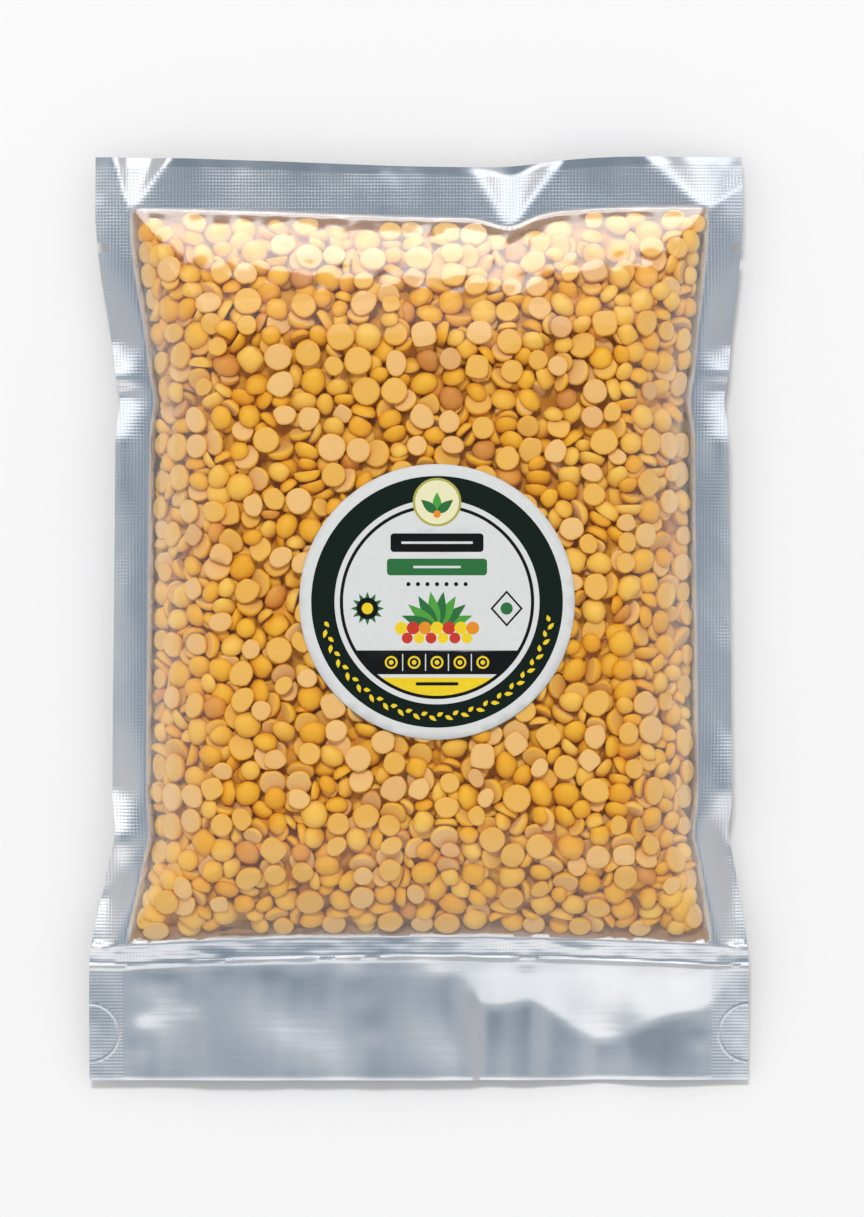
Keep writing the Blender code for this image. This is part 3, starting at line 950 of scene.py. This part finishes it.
def scatterTree():
    # puts a pea shape on every point, turned and sized by the point's own attributes
    tree = bpy.data.node_groups.new("scatterPeas", "GeometryNodeTree")
    for name, kind, way in (
        ("Geometry", "NodeSocketGeometry", "INPUT"), ("Shapes", "NodeSocketCollection", "INPUT"),
        ("Pea radius", "NodeSocketFloat", "INPUT"), ("Finish", "NodeSocketMaterial", "INPUT"),
        ("Geometry", "NodeSocketGeometry", "OUTPUT"),
    ):
        tree.interface.new_socket(name, in_out=way, socket_type=kind)
    given = addNode(tree, "NodeGroupInput")
    shapes = addNode(
        tree, "GeometryNodeCollectionInfo",
        {"Collection": given.outputs["Shapes"], "Separate Children": True, "Reset Children": True},
    )
    turn = addNode(tree, "GeometryNodeInputNamedAttribute", {"Name": "turn"}, data_type="QUATERNION")
    size = addNode(tree, "GeometryNodeInputNamedAttribute", {"Name": "size"}, data_type="FLOAT")
    shape = addNode(tree, "GeometryNodeInputNamedAttribute", {"Name": "shape"}, data_type="INT")
    scale = addNode(
        tree, "ShaderNodeMath", {0: size.outputs["Attribute"], 1: given.outputs["Pea radius"]},
        operation="MULTIPLY",
    )
    placed = addNode(
        tree, "GeometryNodeInstanceOnPoints",
        {"Points": given.outputs["Geometry"], "Instance": shapes.outputs[0], "Pick Instance": True,
         "Instance Index": shape.outputs["Attribute"], "Rotation": turn.outputs["Attribute"],
         "Scale": scale.outputs[0]},
    )
    real = addNode(tree, "GeometryNodeRealizeInstances", {"Geometry": placed.outputs["Instances"]})
    painted = addNode(
        tree, "GeometryNodeSetMaterial",
        {"Geometry": real.outputs[0], "Material": given.outputs["Finish"]},
    )
    addNode(tree, "NodeGroupOutput", {"Geometry": painted.outputs[0]})
    return tree


def setTreeInput(modifier, name, value):
    sockets = modifier.node_group.interface.items_tree
    found = next(s for s in sockets if s.name == name and s.in_out == "INPUT")
    modifier[found.identifier] = value


def makePeas(meshes, poured):
    draw = random.Random(peas["seed"] + 1)
    shapes = bpy.data.collections.new("peaShapes")
    bpy.context.scene.collection.children.link(shapes)
    for mesh in meshes:
        shapes.objects.link(bpy.data.objects.new(mesh.name, mesh))
    tree = scatterTree()
    weights = [kind["share"] for kind in peas["kinds"]]
    chosen = [draw.choices(range(len(weights)), weights)[0] for _ in poured]
    for number, kind in enumerate(peas["kinds"]):
        mine = [pea for pea, pick in zip(poured, chosen) if pick == number]
        cloud = bpy.data.meshes.new(kind["name"] + "Points")
        cloud.from_pydata([pea["centre"] for pea in mine], [], [])
        turns = cloud.attributes.new("turn", "QUATERNION", "POINT")
        turns.data.foreach_set("value", np.array([pea["turn"] for pea in mine], np.float32).ravel())
        pointAttribute(cloud, "size", [pea["size"] for pea in mine])
        pointAttribute(cloud, "tone", [draw.random() for _ in mine])
        picks = cloud.attributes.new("shape", "INT", "POINT")
        picks.data.foreach_set("value", [pea["shape"] for pea in mine])
        points = addObject(kind["name"] + "Points", cloud)
        scatter = points.modifiers.new("scatter", "NODES")
        scatter.node_group = tree
        setTreeInput(scatter, "Shapes", shapes)
        setTreeInput(scatter, "Pea radius", peas["radius"])
        material = splitPea(kind)
        setTreeInput(scatter, "Finish", material)
        graph = bpy.context.evaluated_depsgraph_get()
        mesh = bpy.data.meshes.new_from_object(points.evaluated_get(graph), depsgraph=graph)
        bpy.data.objects.remove(points)
        mesh.name = kind["name"]
        obj = addObject(kind["name"], mesh)
        finishPiece(obj, material, "split_peas", "split_peas")
        print(kind["name"], len(mine), "peas,", len(mesh.polygons), "faces")
    for obj in list(shapes.objects):
        bpy.data.objects.remove(obj)
    bpy.data.collections.remove(shapes)


def splitPea(kind):
    # dry split pulse: waxy golden back, paler matte cut face with a fine grain
    material, tree, shader = newMaterial("drySplitPea_" + kind["name"])
    tone = addNode(tree, "ShaderNodeAttribute", attribute_name="tone").outputs["Fac"]
    cut = addNode(tree, "ShaderNodeAttribute", attribute_name="cut").outputs["Fac"]
    place = addNode(tree, "ShaderNodeTexCoord").outputs["Object"]
    mottle = addNode(
        tree, "ShaderNodeTexNoise", {"Vector": place, "Scale": peas["mottleScale"], "Detail": 3.0}
    ).outputs["Fac"]
    mixed = addNode(
        tree, "ShaderNodeMath", {0: mottle, 1: peas["mottleShare"], 2: tone}, operation="MULTIPLY_ADD"
    ).outputs[0]
    darkest, palest = peas["toneSpan"]
    level = addNode(
        tree, "ShaderNodeMapRange", {"Value": mixed, "From Min": darkest, "From Max": palest}
    ).outputs[0]
    colours = [
        addNode(
            tree, "ShaderNodeMix", {0: level, 6: srgb(dark), 7: srgb(pale)}, data_type="RGBA"
        ).outputs[2]
        for dark, pale in (kind["skin"], kind["face"])
    ]
    onFace = addNode(
        tree, "ShaderNodeMapRange", {"Value": cut, "From Min": 0.45, "From Max": 0.75}
    ).outputs[0]
    colour = addNode(
        tree, "ShaderNodeMix", {0: onFace, 6: colours[0], 7: colours[1]}, data_type="RGBA"
    ).outputs[2]
    grain = addNode(
        tree, "ShaderNodeTexNoise", {"Vector": place, "Scale": peas["grainScale"], "Detail": 2.0}
    ).outputs["Fac"]
    bump = addNode(
        tree, "ShaderNodeBump", {"Height": grain, "Strength": 0.35, "Distance": peas["grainDepth"]}
    )
    skinRough, faceRough = peas["roughness"]
    rough = addNode(
        tree, "ShaderNodeMapRange", {"Value": onFace, "To Min": skinRough, "To Max": faceRough}
    ).outputs[0]
    tree.links.new(colour, shader.inputs["Base Color"])
    tree.links.new(rough, shader.inputs["Roughness"])
    tree.links.new(bump.outputs["Normal"], shader.inputs["Normal"])
    shader.inputs["Specular IOR Level"].default_value = peas["gloss"]
    return material


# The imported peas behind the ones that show

core = {
    "cells": (96, 124),
    "reach": (0.995, 0.998),
    "depth": 0.0042,
    "bump": 0.0006,
    "lumpWaves": (0.0060, 0.0038),
    "underFilm": 0.0004,
    "leastThickness": 0.00015,
    "mostSteep": 1.6,
    # painted shade: the first colour is painted into the gaps between the packed peas, the second is the
    # peas' own gold at their middles
    "colours": ("#C88420", "#F0AE34"),
    # painted shade: grey-brown along the window's edges, and how wide that band is
    "rimShadeColour": "#A8825E",
    "rimShadeWidth": 0.0032,
}


def makeCore():
    across, along = (
        np.linspace(-reach, reach, cells) for reach, cells in zip(core["reach"], core["cells"])
    )
    x, y = windowPlace(*np.meshgrid(across, along))
    bed = np.minimum(backZ(x, y) + peas["foilGap"], filmZ(x, y) - core["underFilm"])
    broad, fine = core["lumpWaves"]
    lumps = softNoise(x, y, broad, 51) + 0.6 * softNoise(x, y, fine, 52)
    dx, dy = slopes(filmZ, x, y)
    steep = np.hypot(1.0, np.hypot(dx, dy))
    top = filmZ(x, y) - core["depth"] * np.minimum(steep, core["mostSteep"]) + core["bump"] * lumps
    top = np.maximum(top, bed + core["leastThickness"])
    mesh = gridMesh("packedPeas", np.stack([x, y, top], axis=-1), np.stack([x, y, bed], axis=-1))
    # painted shade along the window's edges: 1 at the edge, fading to 0 inward
    fromEdge = np.minimum(insideSides(x, y), insideEnds(x, y))
    rim = 1 - smooth(fromEdge / core["rimShadeWidth"] - 0.5)
    pointAttribute(mesh, "rim", np.concatenate([rim.ravel(), rim.ravel()]))
    obj = addObject("packedPeas", mesh)
    # split pulses in depth: warm brown-gold, rough, with painted shade darkening the gaps between them and a
    # painted grey-brown shade along the window's edges
    material, tree, shader = newMaterial("packedSplitPeas")
    place = addNode(tree, "ShaderNodeTexCoord").outputs["Object"]
    # painted shade between packed peas: each pea-sized cell darkens from its middle to its edge
    cells = addNode(
        tree, "ShaderNodeTexVoronoi", {"Vector": place, "Scale": 1 / (2 * peas["radius"])}, feature="F1"
    )
    paintedGapShade, high = (srgb(colour) for colour in core["colours"])
    shade = addNode(
        tree, "ShaderNodeMix", {0: cells.outputs["Distance"], 6: high, 7: paintedGapShade}, data_type="RGBA"
    ).outputs[2]
    # the painted shade along the window's edges goes over the gap shade
    rimShadeMask = addNode(tree, "ShaderNodeAttribute", attribute_name="rim").outputs["Fac"]
    shade = addNode(
        tree, "ShaderNodeMix", {0: rimShadeMask, 6: shade, 7: srgb(core["rimShadeColour"])}, data_type="RGBA"
    ).outputs[2]
    tree.links.new(shade, shader.inputs["Base Color"])
    shader.inputs["Roughness"].default_value = 0.6
    finishPiece(obj, material, "split_peas", "split_peas")
    print("core", len(mesh.polygons), "faces")


# Clear film over the peas and over the tail

film = {
    "cells": (150, 196),
    "thickness": 0.00008,
    "peaBulge": 0.00020,
    "bulgeReach": 0.0021,
    "ripple": (0.00003, 0.004, 61),
    "gap": 0.00002,
    "labelFade": 0.004,
    "overlap": 1.006,
    "tailCells": (110, 44),
    "tailGap": 0.00006,
    "tailShort": 0.0002,
    "tailLift": 0.00035,
    "tailBillow": (0.00025, 0.030, 71),
    "edgeHaze": 0.08,
    "edgeWidth": 0.0008,
    "milkColour": "#F9F9FC",
    "mirror": (0.022, 0.45),  # seen straight on, and what a slanted look adds
    "roughness": 0.12,
}


def peaBulges(x, y, poured):
    # the film stands out a little over each pea that touches it
    bulge = np.zeros_like(x)
    for pea in poured:
        if not pea["touches"]:
            continue
        spot, reach = pea["spot"], film["bulgeReach"]
        near = (np.abs(x - spot.x) < 2.5 * reach) & (np.abs(y - spot.y) < 2.5 * reach)
        if near.any():
            away = np.hypot(x[near] - spot.x, y[near] - spot.y)
            bulge[near] = np.maximum(bulge[near], bell(away, reach))
    return bulge


def makeFilm(poured):
    edge = film["overlap"]
    across, along = (np.linspace(-edge, edge, cells) for cells in film["cells"])
    x, y = windowPlace(*np.meshgrid(across, along))
    full = smooth(fullness(x, y, pouch["sideRound"], pouch["endRound"]) * 4)
    middleX, middleY = labelCentre()
    underLabel = 1 - smooth((np.hypot(x - middleX, y - middleY) - label["radius"]) / film["labelFade"])
    height, wave, seed = film["ripple"]
    rise = film["peaBulge"] * peaBulges(x, y, poured) + height * softNoise(x, y, wave, seed)
    rise = rise * full * (1 - 0.9 * underLabel)
    normal = unitNormals(filmZ, x, y)
    under = np.stack([x, y, filmZ(x, y)], axis=-1) + normal * (rise[..., None] + film["gap"])
    mesh = gridMesh("clearFront", under + normal * film["thickness"], under)
    fromEdge = np.minimum(insideSides(x, y), insideEnds(x, y))
    uneven = film["edgeWidth"] * (1 + 0.3 * softNoise(x, y, 0.007, 62))
    milky = 1 - smooth((fromEdge / uneven - 0.6) / 0.8)
    pointAttribute(mesh, "edge", np.concatenate([milky.ravel(), milky.ravel()]))
    obj = addObject("clearFront", mesh)
    material = clearFilm()
    finishPiece(obj, material, None, "split_peas")
    print("film", len(mesh.polygons), "faces")
    makeTailFilm(material)


def makeTailFilm(material):
    # the loose front of the open tail, held at the side seals and the fill seal
    a, t = np.meshgrid(np.linspace(-1, 1, film["tailCells"][0]), np.linspace(0, 1, film["tailCells"][1]))
    x = a * (pouch["halfWidth"] - pouch["sideSeal"])
    y = between(windowBottomY(x) - pouch["fillSeal"], -pouch["halfLength"] + film["tailShort"], t)
    x = a * np.abs(windowX(1.0, y))
    ground = backZ(x, y) + foilRelief(x, y, np.full_like(x, -2)) + foil["thickness"]
    held = np.minimum(smooth((1 - np.abs(a)) * 9), smooth(t * 8))
    height, wave, seed = film["tailBillow"]
    billow = height * (1.2 + softNoise(x, y, wave, seed))
    lift = held * (film["tailLift"] + np.maximum(billow, 0))
    under = np.stack([x, y, ground + film["tailGap"] + lift], axis=-1)
    top = under + np.array([0, 0, film["thickness"]])
    mesh = gridMesh("tailFront", top[::-1], under[::-1])
    obj = addObject("tailFront", mesh)
    finishPiece(obj, material)
    print("tail film", len(mesh.polygons), "faces")


def clearFilm():
    # clear polyester film: mirror-like where a softbox meets it, a little milky at the seal
    material, tree, shader = newMaterial("clearPolyesterFilm")
    tree.nodes.remove(shader)
    output = tree.nodes["Material Output"]
    place = addNode(tree, "ShaderNodeTexCoord").outputs["Object"]
    waves = addNode(tree, "ShaderNodeTexNoise", {"Vector": place, "Scale": 260.0, "Detail": 2.0})
    bump = addNode(
        tree, "ShaderNodeBump", {"Height": waves.outputs["Fac"], "Strength": 0.5, "Distance": 0.00006}
    ).outputs[0]
    clear = addNode(tree, "ShaderNodeBsdfTransparent")
    milk = addNode(tree, "ShaderNodeBsdfDiffuse", {"Color": srgb(film["milkColour"])})
    gloss = addNode(
        tree, "ShaderNodeBsdfGlossy",
        {"Color": srgb("#FFFFFF"), "Roughness": film["roughness"], "Normal": bump},
    )
    edge = addNode(tree, "ShaderNodeAttribute", attribute_name="edge").outputs["Fac"]
    haze = addNode(tree, "ShaderNodeMapRange", {"Value": edge, "To Max": film["edgeHaze"]})
    body = addNode(
        tree, "ShaderNodeMixShader", {0: haze.outputs[0], 1: clear.outputs[0], 2: milk.outputs[0]}
    ).outputs[0]
    # both faces of the film mirror as one here, so only the face that is met first counts
    facing = addNode(tree, "ShaderNodeLayerWeight", {"Blend": 0.5, "Normal": bump}).outputs["Facing"]
    straight, slanted = film["mirror"]
    mirror = addNode(
        tree, "ShaderNodeMath", {0: facing, 1: slanted, 2: straight}, operation="MULTIPLY_ADD"
    ).outputs[0]
    behind = addNode(tree, "ShaderNodeNewGeometry").outputs["Backfacing"]
    first = addNode(tree, "ShaderNodeMath", {0: 1.0, 1: behind}, operation="SUBTRACT").outputs[0]
    part = addNode(tree, "ShaderNodeMath", {0: mirror, 1: first}, operation="MULTIPLY").outputs[0]
    mix = addNode(tree, "ShaderNodeMixShader", {0: part, 1: body, 2: gloss.outputs[0]})
    tree.links.new(mix.outputs[0], output.inputs["Surface"])
    return material


# Round paper label with a plain printed design

label = {
    "radius": 0.0289,
    "lift": 0.00020,
    "thickness": 0.00022,
    "gridMm": 2.4,
    "wave": (0.00004, 0.009, 81),
    "roughness": 0.42,
    "gloss": 0.12,
    "fibreScale": 900.0,  # clouds of about 1 mm, coarser than real fibre so that they show
    "ringMm": (26.4, 21.5),
    "lineMm": (20.4, 19.7),
    "inks": {
        "paper": "#D6D6D2", "deepGreen": "#0C1A14", "black": "#0E0F10", "green": "#2C6B3B",
        "yellow": "#E9C928", "cream": "#E6DFB4", "olive": "#A8A54E", "red": "#C23A2B", "leaf": "#4E9A3C",
        "orange": "#E08A28",
    },
}


def labelCentre():
    return tuple((labelBox[0][k] + labelBox[1][k]) / 2 for k in (0, 1))


def circle(x, y, radius, count=48):
    angles = [math.tau * k / count for k in range(count)]
    return [(x + radius * math.cos(angle), y + radius * math.sin(angle)) for angle in angles]


def bar(x, y, width, height, corner):
    # a bar with rounded corners
    points = []
    for cx, cy, start in ((1, 1, 0), (-1, 1, 90), (-1, -1, 180), (1, -1, 270)):
        for step in range(6):
            angle = math.radians(start + 18 * step)
            points.append((
                x + cx * (width / 2 - corner) + corner * math.cos(angle),
                y + cy * (height / 2 - corner) + corner * math.sin(angle),
            ))
    return points


def leafShape(x, y, length, width, degrees, count=9):
    # a pointed leaf from its stalk end at (x, y)
    cos, sin = math.cos(math.radians(degrees)), math.sin(math.radians(degrees))
    steps = [k / count for k in range(count + 1)]
    upper = [(length * t, width / 2 * math.sin(math.pi * t**0.8)) for t in steps]
    outline = upper + [(u, -v) for u, v in upper[-2:0:-1]]
    return [(x + u * cos - v * sin, y + u * sin + v * cos) for u, v in outline]


def chordBand(radius, low, high, count=16):
    # the part of a disc between two heights
    angles = [math.asin(max(-1, h / radius)) for h in (low, high)]
    right = [angles[0] + (angles[1] - angles[0]) * k / count for k in range(count + 1)]
    points = [(radius * math.cos(t), radius * math.sin(t)) for t in right]
    return points + [(-px, py) for px, py in reversed(points)]


def labelDesign():
    # outlines in millimetres from the label's middle, in the order of printing
    outer, inner = label["ringMm"]
    design = [("deepGreen", circle(0, 0, outer, 120)), ("paper", circle(0, 0, inner, 110))]
    line, field = label["lineMm"]
    design += [("black", circle(0, 0, line, 100)), ("paper", circle(0, 0, field, 100))]
    design.append(("black", chordBand(field, -15.2, -10.2)))
    design.append(("yellow", chordBand(field, -field, -15.9)))
    # a ring of seeds in the green, larger below
    ringMiddle = (outer + inner) / 2
    for k in range(41):
        angle = math.radians(-170 + 4 * k)
        place = (ringMiddle * math.cos(angle), ringMiddle * math.sin(angle))
        turn = math.degrees(angle) + (60 if k % 2 else 120)
        design.append(("yellow", leafShape(*place, 1.9 if k % 2 else 1.5, 0.9, turn, 4)))
    # badge on the ring
    design += [("olive", circle(0, 20.9, 5.1)), ("cream", circle(0, 20.9, 4.6))]
    for degrees, ink in ((90, "leaf"), (40, "green"), (140, "green")):
        design.append((ink, leafShape(0, 18.6, 4.4, 1.9, degrees)))
    design.append(("orange", circle(0, 18.4, 0.8, 16)))
    # two title bars, the lower one green
    design += [("black", bar(0, 12.4, 19.5, 3.9, 0.7)), ("green", bar(0, 7.3, 21.0, 3.5, 0.7))]
    design += [("paper", bar(0, 12.4, 15.0, 0.5, 0.2)), ("paper", bar(0, 7.3, 10.0, 0.5, 0.2))]
    for k in range(7):
        design.append(("black", circle(-6 + 2 * k, 3.7, 0.45, 12)))
    # a fan of leaves over two rows of round pulses
    for degrees in range(20, 161, 20):
        ink = "leaf" if degrees % 40 else "green"
        design.append((ink, leafShape(0, -5.6, 7.9, 2.5, degrees)))
    rowInks = ("yellow", "red", "orange", "yellow", "red", "yellow", "orange")
    for k, ink in enumerate(rowInks):
        design.append((ink, circle(-7.5 + 2.5 * k, -5.5, 1.35, 20)))
    for k in range(6):
        design.append((("red", "yellow")[k % 2], circle(-6.25 + 2.5 * k, -7.6, 1.15, 20)))
    # side marks: a sun-like round on the left, a plain diamond on the right
    markX, markY = 14.6, -1.4
    for k in range(12):
        design.append(("green", leafShape(-markX, markY, 3.5, 1.2, 30 * k, 4)))
    design += [("black", circle(-markX, markY, 2.3, 28)), ("yellow", circle(-markX, markY, 1.2, 20))]
    for ink, part in (("black", 1.0), ("paper", 0.84)):
        corners = ((0, 3.8), (3.4, 0), (0, -3.8), (-3.4, 0))
        design.append((ink, [(markX + px * part, markY + py * part) for px, py in corners]))
    design.append(("green", circle(markX, markY, 1.3, 20)))
    # rings on the black band
    for k in range(5):
        place = (-9.6 + 4.8 * k, -12.7)
        design += [("yellow", circle(*place, 1.35, 24)), ("black", circle(*place, 0.95, 20))]
        design.append(("yellow", circle(*place, 0.5, 14)))
    for k in range(4):
        design.append(("paper", bar(-7.2 + 4.8 * k, -12.7, 0.22, 3.6, 0.1)))
    design.append(("black", bar(0, -17.2, 9.0, 0.7, 0.3)))
    return design


def insideOutline(px, py, outline):
    # even-odd test of many points against one outline
    inside = np.zeros(px.shape, bool)
    points = np.array(outline)
    for (ax, ay), (bx, by) in zip(points, np.roll(points, -1, axis=0)):
        if ay == by:
            continue
        crosses = (ay > py) != (by > py)
        inside ^= crosses & (px < (bx - ax) * (py - ay) / (by - ay) + ax)
    return inside


def makeLabel():
    radiusMm = label["radius"] * 1000
    design = labelDesign()
    rim = circle(0, 0, radiusMm, 144)
    points, edges = [], []
    for _, outline in [("paper", rim)] + design:
        start = len(points)
        points += outline
        edges += [(start + k, start + (k + 1) % len(outline)) for k in range(len(outline))]
    step = label["gridMm"]
    reach = int(radiusMm / step) + 1
    for i in range(-reach, reach + 1):
        for j in range(-reach, reach + 1):
            spot = (i * step + 0.5 * step * (j % 2), j * step * 0.866)
            if math.hypot(*spot) < radiusMm - 0.5:
                points.append(spot)
    found = delaunay_2d_cdt([Vector(p) for p in points], edges, [], 0, 1e-5)
    flat = np.array([tuple(v) for v in found[0]])
    faces = [f for f in found[2] if len(f) >= 3]
    centres = np.array([flat[list(f)].mean(axis=0) for f in faces])
    kept = np.hypot(*centres.T) < radiusMm
    inks = list(label["inks"])
    ink = np.zeros(len(faces), int)
    for name, outline in design:
        ink[insideOutline(centres[:, 0], centres[:, 1], outline)] = inks.index(name)
    middle = labelCentre()
    x, y = (flat / 1000 + middle).T
    height, wave, seed = label["wave"]
    z = filmZ(x, y) + label["lift"] + label["thickness"] + height * softNoise(x, y, wave, seed)
    mesh = bpy.data.meshes.new("roundLabel")
    keptFaces = [faces[k] for k in np.flatnonzero(kept)]
    mesh.from_pydata(np.stack([x, y, z], axis=-1).tolist(), [], keptFaces)
    for name, colour in label["inks"].items():
        mesh.materials.append(printedPaper(name, colour))
    mesh.polygons.foreach_set("material_index", ink[kept].astype(np.int32))
    bm = bmesh.new()
    bm.from_mesh(mesh)
    loose = [v for v in bm.verts if not v.link_faces]
    bmesh.ops.delete(bm, geom=loose, context="VERTS")
    for face in bm.faces:
        face.smooth = True
    bm.normal_update()
    if sum(face.normal.z for face in bm.faces) < 0:
        bmesh.ops.reverse_faces(bm, faces=bm.faces[:])
    lower = bmesh.ops.extrude_face_region(bm, geom=bm.faces[:], use_keep_orig=True)["geom"]
    for part in lower:
        if isinstance(part, bmesh.types.BMVert):
            part.co.z -= label["thickness"]
    bmesh.ops.recalc_face_normals(bm, faces=bm.faces[:])
    for face in bm.faces:
        if face.normal.z < 0.5:
            face.material_index = 0
    bm.to_mesh(mesh)
    bm.free()
    obj = addObject("roundLabel", mesh)
    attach(obj, "root")
    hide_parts("label")
    print("label", len(mesh.polygons), "faces")


def printedPaper(ink, colour):
    # coated label paper, offset printed: even colour, a satin sheen and a hint of fibre
    material, tree, shader = newMaterial("coatedLabelPaper_" + ink)
    place = addNode(tree, "ShaderNodeTexCoord").outputs["Object"]
    fibre = addNode(
        tree, "ShaderNodeTexNoise", {"Vector": place, "Scale": label["fibreScale"], "Detail": 4.0}
    ).outputs["Fac"]
    tint = addNode(tree, "ShaderNodeMapRange", {"Value": fibre, "To Min": 0.94, "To Max": 1.06}).outputs[0]
    shade = addNode(
        tree, "ShaderNodeMix", {0: 1.0, 6: srgb(colour), 7: tint}, data_type="RGBA", blend_type="MULTIPLY"
    ).outputs[2]
    bump = addNode(tree, "ShaderNodeBump", {"Height": fibre, "Strength": 0.3, "Distance": 0.00002}).outputs[0]
    tree.links.new(shade, shader.inputs["Base Color"])
    tree.links.new(bump, shader.inputs["Normal"])
    shader.inputs["Roughness"].default_value = label["roughness"]
    shader.inputs["Specular IOR Level"].default_value = label["gloss"]
    return material


makeCamera()
makeStudio()
makeFoil()
meshes, poured = pourPeas()
makePeas(meshes, poured)
makeCore()
makeFilm(poured)
makeLabel()
